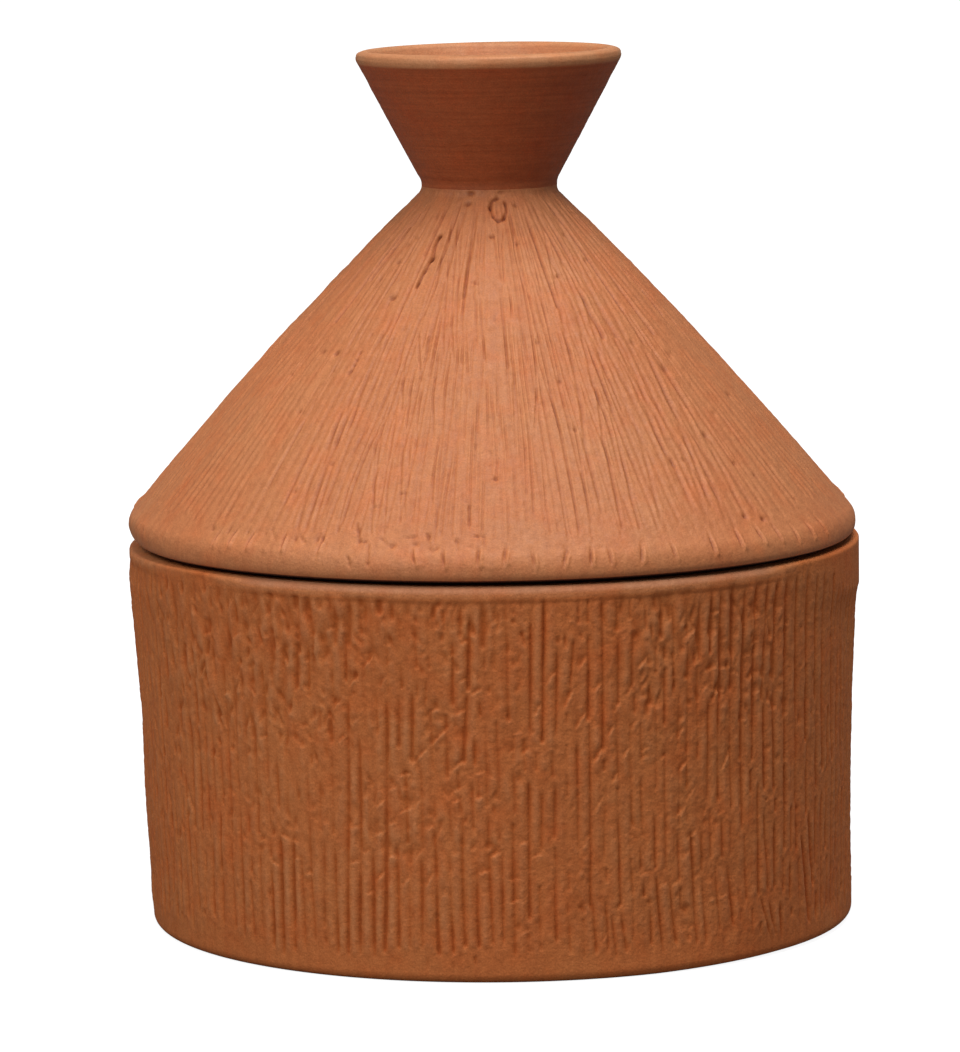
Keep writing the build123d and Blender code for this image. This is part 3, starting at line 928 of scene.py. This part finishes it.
def nick_edge(skin, along, angle):
    """Short upright cut above the lid's edge, with a burr on its right and a crumb at its foot."""
    aside = 0.75 / lid_radius
    lean = chance.normal(0, 0.12)
    depth = chance.uniform(0.65, 1.0)
    length = chance.uniform(2.2, 3.0)
    dent(skin, along + 2.4, angle - aside, length, width=0.31, depth=depth, lean=lean)
    dent(skin, along + 1.8, angle, length=2.4, width=0.38, depth=-0.62 * depth, lean=lean)
    dent(skin, along - 0.2, angle, length=0.7, width=0.6, depth=-0.36 * depth)


def mark_cone(skin, top):
    """Pits, scratches and cuts that the photograph shows, cuts on the hidden side, and crumbs all over."""
    neck_y = 215
    edge_y = 525
    for x, y, length, width, depth in cone_pits:
        press = (1.9 if y < neck_y else 1.25 if y < edge_y else 0.8) * hundredth
        dent(skin, *skin.spot((x, y)), length * hundredth, width * hundredth, press * depth)
    press_step = 1.4
    for width, depth, line in cone_scratches:
        size = 0.9 * width * hundredth
        press = 0.6 * depth * hundredth
        points = np.array(points_of(line))
        for start, way in zip(points, np.diff(points, axis=0)):
            presses = ceil(np.hypot(*way) / press_step)
            for share in np.arange(presses) / presses:
                dent(skin, *skin.spot(start + share * way), size, size, press)
    for pixel in edge_cuts:
        nick_edge(skin, *skin.spot(pixel))
    hidden_cuts = 20
    for cut in range(hidden_cuts):
        nick_edge(skin, combed_low + chance.normal(-4, 1.2), radians(4 + 9 * cut))
    crumble(skin, count=320, low=combed_low, high=top - 4, sizes=(0.3, 0.6), longest=2.5, unevenness=0.12)


def lid_heights(skin):
    """The cone as the potter left it: comb lines down the slope, pits, and cuts near a smooth edge."""
    along = skin.along[:, None]
    top = skin.along[-1]
    flute_cone(skin, top)
    line_cone(skin, top)
    mark_cone(skin, top)
    roughen(skin, (0.03, 1.1, 1.5), (0.05, 9, 9))
    neck_fade = ramp(top - along, 0, 1)
    skin.height *= ramp(along, 4.5, 6) * neck_fade
    swell = 0.12
    uneven = smooth_noise(skin.height.shape, rows=50, cols=60, source=np.random.default_rng(seed=8))
    skin.height += swell * uneven * ramp(along, 3, 9) * neck_fade
    skin.height = blurred(skin.height, rows=0.5, cols=0.5)
    skin.height = np.minimum(skin.height, outer_limit - skin.out)


# The knob

def knob_profile():
    """Profile of the knob from inside the neck, up the flare, over the lip and down into the cup."""
    lip_round = knob_wall / 2
    lip_centre = np.array([knob_rim_radius - lip_round, knob_top - lip_round])
    waist = np.array([neck_radius, knob_seat + neck_height])
    away = waist - lip_centre
    flare = np.arctan2(away[1], away[0]) + np.arccos(lip_round / np.linalg.norm(away))
    spoke = lip_round * np.array([cos(flare), sin(flare)])
    outer = lip_centre + spoke
    inner = lip_centre - spoke
    cup_bottom = knob_seat + cup_floor
    cup_edge = (inner[0] + (inner[1] - cup_bottom) * np.tan(flare), cup_bottom)
    step = 0.5
    lip_points = 22
    fuller = 0.24
    turns = np.linspace(flare, flare + pi, lip_points)
    swollen = lip_round * (1 + fuller * hump(turns, radians(27), radians(28)))
    lip = lip_centre + swollen[:, None] * np.stack([np.cos(turns), np.sin(turns)], axis=1)
    rounded_waist = bend((neck_radius, knob_seat), waist, outer, neck_fillet, step)
    rounded_cup = bend(inner, cup_edge, (0.0, cup_bottom), cup_fillet, step)
    sunk = 1.2
    inset = 0.8
    coarse = 2.0
    innermost = 1.0
    stub = (neck_radius - inset, knob_seat - sunk)
    return np.concatenate([
        run((0.0, stub[1]), stub, ring_step)[1:],
        run(stub, (neck_radius, knob_seat), step),
        run((neck_radius, knob_seat), rounded_waist[0], step),
        rounded_waist[:-1],
        run(rounded_waist[-1], outer, step),
        lip[:-1],
        run(inner, rounded_cup[0], step),
        rounded_cup,
        run(rounded_cup[-1], (innermost, cup_bottom), coarse)[1:],
    ])


# Meshes

ring_step = 3.0
pole_radius = 2.0
fewest_columns = 16
half_columns = columns // 2
quarter_columns = columns // 4


def stitch(start, count, next_start, next_count):
    """Faces between two rings of points, where one is a pole, or has as many points or half as many."""
    if next_count > count:
        return [faces[:, ::-1] for faces in stitch(next_start, next_count, start, count)]
    if next_count == 1:
        j = np.arange(count)
        return [np.stack([np.full(count, next_start), start + j, start + (j + 1) % count], axis=1)]
    j = np.arange(next_count)
    low, high = next_start + j, next_start + (j + 1) % next_count
    if next_count == count:
        return [np.stack([start + j, start + (j + 1) % count, high, low], axis=1)]
    a, b, c = start + 2 * j, start + 2 * j + 1, start + (2 * j + 2) % count
    return [np.stack([a, b, low], axis=1), np.stack([b, c, high, low], axis=1)]


def unrolled(rings, corners, totals):
    """Plain map: round the piece from side to side, along the profile from bottom to top."""
    counts = np.array([len(ring) for ring in rings])
    middles = np.array([[np.hypot(r[:, 0], r[:, 1]).mean(), r[:, 2].mean()] for r in rings])
    lengths = lengths_along(middles)
    ring_index = np.repeat(np.arange(len(rings)), counts)[corners]
    column_share = np.concatenate([np.arange(count) / count for count in counts])
    u = column_share[corners]
    v = (lengths / lengths[-1])[ring_index]

    # Faces over the seam stay in one piece, and a pole lies above the middle of its face
    face_index = np.repeat(np.arange(len(totals)), totals)
    widest = np.zeros(len(totals))
    np.maximum.at(widest, face_index, u)
    u = np.where((widest[face_index] > 0.75) & (u < 0.25), u + 1, u)
    poles = counts[ring_index] == 1
    sums = np.zeros(len(totals))
    np.add.at(sums, face_index, np.where(poles, 0, u))
    u = np.where(poles, sums[face_index] / 2, u)
    margin = 0.002
    return margin + (1 - 2 * margin) * np.stack([u, v], axis=1)


def turned_piece(name, rings, relief_and_painted_light):
    """Mesh from rings of points in millimetres, with their relief and painted light, smooth shading and a
    map.
    """
    counts = [len(ring) for ring in rings]
    starts = np.concatenate([[0], np.cumsum(counts)])
    places = np.concatenate(rings) * mm
    faces = []
    for i in range(len(rings) - 1):
        faces += stitch(starts[i], counts[i], starts[i + 1], counts[i + 1])
    totals = np.concatenate([np.full(len(f), f.shape[1]) for f in faces])
    corners = np.concatenate([f.ravel() for f in faces])
    mesh = bpy.data.meshes.new(name)
    mesh.vertices.add(len(places))
    mesh.vertices.foreach_set("co", places.astype(np.float32).ravel())
    mesh.loops.add(len(corners))
    mesh.loops.foreach_set("vertex_index", corners.astype(np.int32))
    mesh.polygons.add(len(totals))
    loop_starts = np.concatenate([[0], np.cumsum(totals)[:-1]])
    mesh.polygons.foreach_set("loop_start", loop_starts.astype(np.int32))
    mesh.polygons.foreach_set("use_smooth", np.ones(len(totals), bool))
    bake_map = mesh.uv_layers.new(name="OFBake")
    bake_map.uv.foreach_set("vector", unrolled(rings, corners, totals).astype(np.float32).ravel())
    mesh.update(calc_edges=True)
    mesh.validate()
    # The relief attribute also carries painted light: shade, highlights and the near-black shadow in the
    # lid's gap
    relief = mesh.attributes.new("relief", "FLOAT", "POINT")
    relief.data.foreach_set("value", np.concatenate(relief_and_painted_light).astype(np.float32))
    piece = bpy.data.objects.new(name, mesh)
    bpy.context.scene.collection.objects.link(piece)
    return piece


def ring_of(radius, height, count, normal=(0.0, 0.0), rise=0.0):
    """One ring of points, pushed along the profile's normal by its heights."""
    angle = np.arange(count) * tau / count
    out = radius + normal[0] * rise
    tall = height + normal[1] * rise + 0 * angle
    return np.stack([out * np.cos(angle), out * np.sin(angle), tall], axis=1)


def pole(height):
    """A ring of one point on the axis."""
    return np.array([[0.0, 0.0, height]])


def plain_rings(points, counts):
    """Rings of a stretch that isn't worked."""
    return [ring_of(radius, height, count) for (radius, height), count in zip(points, counts)]


def skin_rings(skin, counts):
    """Rings of a worked stretch. Where a ring has fewer columns, it takes every second or fourth height."""
    rings = []
    for i, count in enumerate(counts):
        pick = slice(None, None, columns // count)
        out, tall, rise = (field[i, pick] for field in (skin.out, skin.tall, skin.height))
        rings.append(ring_of(out, tall, count, skin.normals[i], rise))
    return rings


def skin_relief(skin, counts, reach):
    """How far each point stands above or below its surroundings, in millimetres."""
    relief = skin.height - blurred(skin.height, reach, reach * 1.4)
    return [relief[i, ::columns // count] for i, count in enumerate(counts)]


def halving(points, count):
    """Columns of rings that go in to a pole: half as many each time that the radius halves."""
    outermost = points[0][0]
    counts = []
    for radius, _ in points:
        wanted = count
        while wanted > fewest_columns and radius / outermost < 0.5 * wanted / count:
            wanted //= 2
        counts.append(max(wanted, counts[-1] // 2 if counts else wanted))
    return counts


def lid_shift(tall):
    """How far to the side the lid stands at a height."""
    return np.interp(tall, lid_sway_heights, lid_sway_shifts)


def pot_shift(tall):
    """How far to the side the pot stands at a height."""
    return pot_lean * (rim_height - tall)


def shift_rings(rings, shift):
    """Shift rings to the side by their height, as they were turned."""
    for ring in rings:
        ring[:, 0] += shift(ring[:, 2])


def build_pot():
    """Foot, worked wall, inside and floor of the pot."""
    outside, other, inside = pot_profile()
    share = around([-180, -100, -75, -51, -39, 45, 55, 180], [0.4, 0.3, 0.3, 1, 0, 0, 1, 0.4])
    skin = Skin(outside, other, share, pot_shift)
    pot_heights(skin)
    under = run((outside[0][0], 0.0), (pole_radius, 0.0), ring_step)[1:]
    floor_points = run(inside[-1], (pole_radius, floor_height), ring_step)[1:]
    inside_counts = [columns, half_columns] + [quarter_columns] * (len(inside) - 2)
    ridge_height = 0.10
    plain_rows = 6
    ridges = ridge_height * line_noise(len(inside), 1.4)
    ridges[:plain_rows] = 0
    rings = [pole(0.0)]
    rings += plain_rings(under[::-1], halving(under, columns)[::-1])
    rings += skin_rings(skin, [columns] * len(outside))
    for (radius, height), *rest in zip(inside, inside_counts, profile_normals(inside), ridges):
        rings.append(ring_of(radius, height, *rest))
    rings += plain_rings(floor_points, halving(floor_points, quarter_columns))
    rings.append(pole(floor_height))
    shift_rings(rings, pot_shift)

    # The smooth lip is paler: a painted highlight on its lit top
    relief_and_painted_light = [np.zeros(len(ring)) for ring in rings]
    first = 1 + len(under)
    for i, relief in enumerate(skin_relief(skin, [columns] * len(outside), 5)):
        painted_highlight = (1 - share) * ramp(skin.tall[i] - rim_height, -3.4, -1.2)
        relief_and_painted_light[first + i] = np.where(painted_highlight > 0, np.maximum(relief, painted_highlight), relief)
    return turned_piece("pot_body", rings, relief_and_painted_light)


def build_lid():
    """Hollow, skirt, land and worked cone of the lid, closed under the knob."""
    below, outside, other = lid_profile()
    share = around([-180, -95, -55, 60, 95, 180], [0.6, 0.1, 1, 1, 0.4, 0.6])
    skin = Skin(outside, other, share, lid_shift)
    lid_heights(skin)
    top_inset = 1.0
    top_height = knob_seat + 0.6
    top_points = run((neck_radius - top_inset, top_height), (pole_radius, top_height), ring_step)
    full_from = 52
    half_from = 27
    outside_counts = [
        columns if radius > full_from else half_columns if radius > half_from else quarter_columns
        for radius in skin.radius
    ]
    below_counts = halving(below[::-1], quarter_columns)[::-1]
    below_counts[-2:] = [half_columns, columns]
    rings = [pole(below[0][1])]
    rings += plain_rings(below, below_counts)
    rings += skin_rings(skin, outside_counts)
    rings += plain_rings(top_points, halving(top_points, quarter_columns))
    rings.append(pole(top_height))

    # Painted shade below the neck, where the knob shades the cone, paler above the edge, and a near-black
    # painted shadow in the gap above the rim
    relief_and_painted_light = [np.zeros(len(ring)) for ring in rings]
    first = 1 + len(below)
    neck_painted_shade = 0.16 * hump(skin.along, skin.along[-1], 5)
    edge_shade = 0.14 * hump(skin.along, 8, 5)
    for i, relief in enumerate(skin_relief(skin, outside_counts, 4)):
        relief_and_painted_light[first + i] = relief - neck_painted_shade[i] + edge_shade[i]
    # Painted shadow: the faces in the gap between the lid and the rim are tinted near black
    painted_shadow_relief = -2.0
    for i in range(first - 3, first + 4):
        relief_and_painted_light[i] = np.full(len(rings[i]), painted_shadow_relief)
    shift_rings(rings, lid_shift)
    return turned_piece("lid_shell", rings, relief_and_painted_light)


def build_knob():
    """Knob with faint turning lines and soft lumps, a little tilted."""
    points = knob_profile()
    normals = profile_normals(points)
    around_knob = 512
    counts = [around_knob] * len(points)
    for i in range(4):
        counts[i] = min(around_knob, 64 * 2 ** i)
        counts[-1 - i] = min(around_knob, 32 * 2 ** i)
    lines = 0.02 * line_noise(len(points), 0.7) + 0.02 * line_noise(len(points), 2.5)
    lumps = 0.09 * smooth_noise((len(points), around_knob), rows=26, cols=60)
    inset = 0.06
    highest = -0.02
    swell = 0.3 * ramp(-normals[:, 1], 0, 0.4)
    seated = 0.2
    first = next(i for i, (radius, height) in enumerate(points) if height > knob_seat + seated)
    ends = 6
    last = len(points) - ends
    rings = [pole(points[0][1])]
    for i, ((radius, height), count) in enumerate(zip(points, counts)):
        ease = ramp(i, first, first + ends) * ramp(last - i, 0, ends)
        worked = np.minimum(lines[i] + lumps[i, ::around_knob // count] - inset, highest)
        rings.append(ring_of(radius, height, count, normals[i], ease * (worked + swell[i])))
    rings.append(pole(points[-1][1]))
    shift_rings(rings, lid_shift)
    for ring in rings:
        height_share = ramp(ring[:, 2], knob_seat, knob_top)
        ring[:, 2] -= knob_tilt * height_share * (knob_rim_radius - ring[:, 0])

    # The lip and the inside of the cup are paler: painted light where they face up, over the knob clay's
    # painted shade
    widest = int(np.argmax(points[:, 0]))
    painted_highlight = np.interp(np.arange(len(points)) - widest, [-8.5, -4, 12, 18], [0, 1, 1, 0.93])
    relief_and_painted_light = [np.full(count, pale) for count, pale in zip(counts, painted_highlight)]
    return turned_piece("lid_knob_turned", rings, [np.zeros(1), *relief_and_painted_light, np.ones(1)])


# Materials

def map_range(tree, value, low, high, to_low=0.0, to_high=1.0):
    """Node that carries a value from one range to another."""
    node = tree.nodes.new("ShaderNodeMapRange")
    for socket, number in zip(("From Min", "From Max", "To Min", "To Max"), (low, high, to_low, to_high)):
        node.inputs[socket].default_value = number
    tree.links.new(value, node.inputs["Value"])
    return node.outputs["Result"]


def clay(name, base, painted_groove_shade, painted_crest_highlight, pale, streak, reach, roughness, specular, grain, streak_round, streak_up):
    """Unglazed terracotta: mottled, streaked and gritty, with redder places. Painted shade darkens its
    furrows, pits and gaps, and painted highlights lighten its crests and lit lips.
    """
    material = bpy.data.materials.new(name)
    material.use_nodes = True
    tree = material.node_tree
    nodes, links = tree.nodes, tree.links
    shader = nodes["Principled BSDF"]
    coordinates = nodes.new("ShaderNodeTexCoord").outputs["Object"]

    def noise(scale, detail, vector=coordinates):
        node = nodes.new("ShaderNodeTexNoise")
        node.inputs["Scale"].default_value = scale
        node.inputs["Detail"].default_value = detail
        links.new(vector, node.inputs["Vector"])
        return node.outputs["Fac"]

    def tinted(colour, share, tint):
        """The colour, with a share of it multiplied by a tint."""
        node = nodes.new("ShaderNodeMix")
        node.data_type = "RGBA"
        node.blend_type = "MULTIPLY"
        links.new(share, node.inputs["Factor"])
        links.new(colour, node.inputs[6])
        node.inputs[7].default_value = (*tint, 1.0)
        return node.outputs[2]

    def vector_math(operation, first, second=None):
        node = nodes.new("ShaderNodeVectorMath")
        node.operation = operation
        for socket, value in zip(node.inputs, (first, second)):
            if isinstance(value, tuple):
                socket.default_value = value
            elif value is not None:
                links.new(value, socket)
        return node.outputs[0]

    # Streaks that follow the tool: round the piece for the turned knob, up and down for the combed walls
    flat = vector_math("MULTIPLY", coordinates, (1, 1, 0))
    round_way = vector_math("MULTIPLY", vector_math("NORMALIZE", flat), (streak_round, streak_round, 0))
    up_way = vector_math("MULTIPLY", coordinates, (0, 0, streak_up))
    streaks = noise(1.0, 2, vector_math("ADD", round_way, up_way))
    relief_node = nodes.new("ShaderNodeAttribute")
    relief_node.attribute_name = "relief"
    relief = relief_node.outputs["Fac"]

    # What tints the clay, from which value to which, and the tint
    # Painted shade for deep furrows and pits, and a painted shadow for the gap between the lid and the rim
    painted_deep_shade = (0.60, 0.52, 0.46)
    painted_gap_shadow = (0.16, 0.09, 0.07)
    tints = [
        (noise(34, 3), 0.35, 0.70, (1.00, 0.90, 0.84)),
        (noise(130, 3), 0.45, 0.75, (1.04, 0.90, 0.80)),
        (streaks, 0.35, 0.75, streak),
        (noise(420, 3), 0.40, 0.80, (0.88, 0.84, 0.80)),
        (noise(2400, 2), 0.35, 0.70, (0.82, 0.80, 0.78)),
        # Painted light from the relief: shade in furrows and pits, highlights on crests and pale-marked lips,
        # shadow in the gap
        (relief, -0.1 * reach, -reach, painted_groove_shade),
        (relief, -reach, -2.4 * reach, painted_deep_shade),
        (relief, 0.1 * reach, reach, painted_crest_highlight),
        (relief, 0.6, 1.0, pale),
        (relief, -1.0, -1.8, painted_gap_shadow),
    ]
    plain = nodes.new("ShaderNodeRGB")
    plain.outputs[0].default_value = (*base, 1.0)
    colour = plain.outputs[0]
    for value, low, high, tint in tints:
        colour = tinted(colour, map_range(tree, value, low, high), tint)
    links.new(colour, shader.inputs["Base Color"])
    uneven = 0.06
    rough = map_range(tree, noise(500, 2), 0.3, 0.7, roughness - uneven, roughness + uneven)
    links.new(rough, shader.inputs["Roughness"])
    shader.inputs["Specular IOR Level"].default_value = specular
    bump = nodes.new("ShaderNodeBump")
    bump.inputs["Strength"].default_value = grain
    bump.inputs["Distance"].default_value = 0.0004
    links.new(noise(1300, 4), bump.inputs["Height"])
    links.new(bump.outputs["Normal"], shader.inputs["Normal"])
    return material


def finish_piece(piece, material, body, slot, *nodes):
    """Dress a piece, hide the solids that it replaces, and hang it on its body."""
    piece.data.materials.append(material)
    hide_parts(*nodes)
    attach(piece, body)


# The wall's pale tint is a painted highlight on the smooth lip's lit top
wall_clay = clay(
    "wall_clay", base=(0.640, 0.206, 0.061), painted_groove_shade=(0.81, 0.66, 0.46), painted_crest_highlight=(1.05, 1.23, 1.56),
    pale=(0.83, 0.97, 1.30), streak=(0.90, 0.86, 0.84), reach=0.38, roughness=0.74, specular=0.20, grain=0.45,
    streak_round=65, streak_up=33,
)
# The cone's clay is a paler copy of the wall's: painted sheen of the slope that faces the light above
cone_clay_painted_sheen = clay(
    "cone_clay_painted_sheen", base=(0.598, 0.220, 0.079), painted_groove_shade=(0.67, 0.56, 0.45), painted_crest_highlight=(1.15, 1.19, 1.24),
    pale=(1.00, 1.00, 1.00), streak=(0.90, 0.86, 0.84), reach=0.36, roughness=0.66, specular=0.50, grain=0.36,
    streak_round=60, streak_up=33,
)
# The knob's clay is a darker copy of the wall's: painted shade of its down-facing flare. Its pale tint is
# painted light on the lip and in the cup
knob_clay_painted_light = clay(
    "knob_clay_painted_light", base=(0.445, 0.112, 0.034), painted_groove_shade=(0.72, 0.64, 0.57), painted_crest_highlight=(1.00, 1.00, 1.00),
    pale=(1.41, 2.56, 3.85), streak=(0.80, 0.76, 0.73), reach=0.40, roughness=0.60, specular=0.35, grain=0.30,
    streak_round=1.1, streak_up=1400,
)
finish_piece(build_pot(), wall_clay, "pot", "fired_clay", "pot_wall", "pot_floor")
finish_piece(build_lid(), cone_clay_painted_sheen, "lid", "lid_clay", "lid_cone", "lid_flange")
finish_piece(build_knob(), knob_clay_painted_light, "lid", "lid_clay", "lid_knob")


# Stage, light and camera

def build_floor():
    """Pale floor: near white to the camera with a soft trace of the shadow, duller for light that bounces."""
    near, far = 0.15, 0.9
    near_level, far_level = 1.22, 1.40
    white_share = 0.76
    bpy.ops.mesh.primitive_plane_add(size=12.0, location=(0, 0, 0))
    plane = bpy.context.object
    plane.name = "floor"
    material = bpy.data.materials.new("floor_white")
    material.use_nodes = True
    tree = material.node_tree
    nodes, links = tree.nodes, tree.links
    nodes.clear()
    output = nodes.new("ShaderNodeOutputMaterial")
    path = nodes.new("ShaderNodeLightPath")
    white = nodes.new("ShaderNodeEmission")
    place = nodes.new("ShaderNodeTexCoord")
    away = nodes.new("ShaderNodeVectorMath")
    away.operation = "LENGTH"
    links.new(place.outputs["Object"], away.inputs[0])
    level = map_range(tree, away.outputs["Value"], near, far, near_level, far_level)
    links.new(level, white.inputs["Strength"])
    pale = nodes.new("ShaderNodeBsdfDiffuse")
    pale.inputs["Color"].default_value = (0.9, 0.9, 0.9, 1)
    dull = nodes.new("ShaderNodeBsdfDiffuse")
    dull.inputs["Color"].default_value = (0.22, 0.21, 0.20, 1)
    seen = nodes.new("ShaderNodeMixShader")
    seen.inputs["Fac"].default_value = white_share
    links.new(pale.outputs[0], seen.inputs[1])
    links.new(white.outputs[0], seen.inputs[2])
    choice = nodes.new("ShaderNodeMixShader")
    links.new(path.outputs["Is Camera Ray"], choice.inputs["Fac"])
    links.new(dull.outputs[0], choice.inputs[1])
    links.new(seen.outputs[0], choice.inputs[2])
    links.new(choice.outputs[0], output.inputs["Surface"])
    plane.data.materials.append(material)


def build_world(ambient):
    """White to the camera, a soft even fill for everything else."""
    world = bpy.data.worlds.new("studio")
    world.use_nodes = True
    tree = world.node_tree
    background = tree.nodes["Background"]
    path = tree.nodes.new("ShaderNodeLightPath")
    level = map_range(tree, path.outputs["Is Camera Ray"], 0.0, 1.0, ambient, 1.0)
    background.inputs["Color"].default_value = (1, 1, 1, 1)
    tree.links.new(level, background.inputs["Strength"])
    bpy.context.scene.world = world


def softbox(name, direction, distance, size, level):
    """Square soft light that brings a facing surface to a level, where 1 shows a colour as written."""
    lamp = bpy.data.lights.new(name, "AREA")
    lamp.size = size
    lamp.energy = level * pi ** 2 * distance ** 2
    light = bpy.data.objects.new(name, lamp)
    aim = Vector((0, 0, 0.12))
    way = Vector(direction).normalized()
    light.location = aim + way * distance
    light.rotation_euler = way.to_track_quat("Z", "Y").to_euler()
    bpy.context.scene.collection.objects.link(light)


def build_camera():
    """Camera of the photograph."""
    camera = bpy.data.objects.new("camera", bpy.data.cameras.new("camera"))
    bpy.context.scene.collection.objects.link(camera)
    camera.data.sensor_width = sensor_width
    camera.data.lens = focal_px / image_height * sensor_width
    whole = np.eye(4)
    whole[:3, :3] = np.stack([image_right, image_up, -view_forward], axis=1)
    whole[:3, 3] = camera_place * mm
    camera.matrix_world = Matrix(whole.tolist())
    bpy.context.scene.camera = camera


build_floor()
build_world(ambient=0.215)
softbox("key", direction=(0.125, -0.21, 0.97), distance=1.5, size=0.9, level=0.88)
softbox("side", direction=(-0.48, -0.66, 0.58), distance=1.6, size=0.7, level=0.375)
build_camera()
bpy.context.scene.view_settings.view_transform = "Standard"
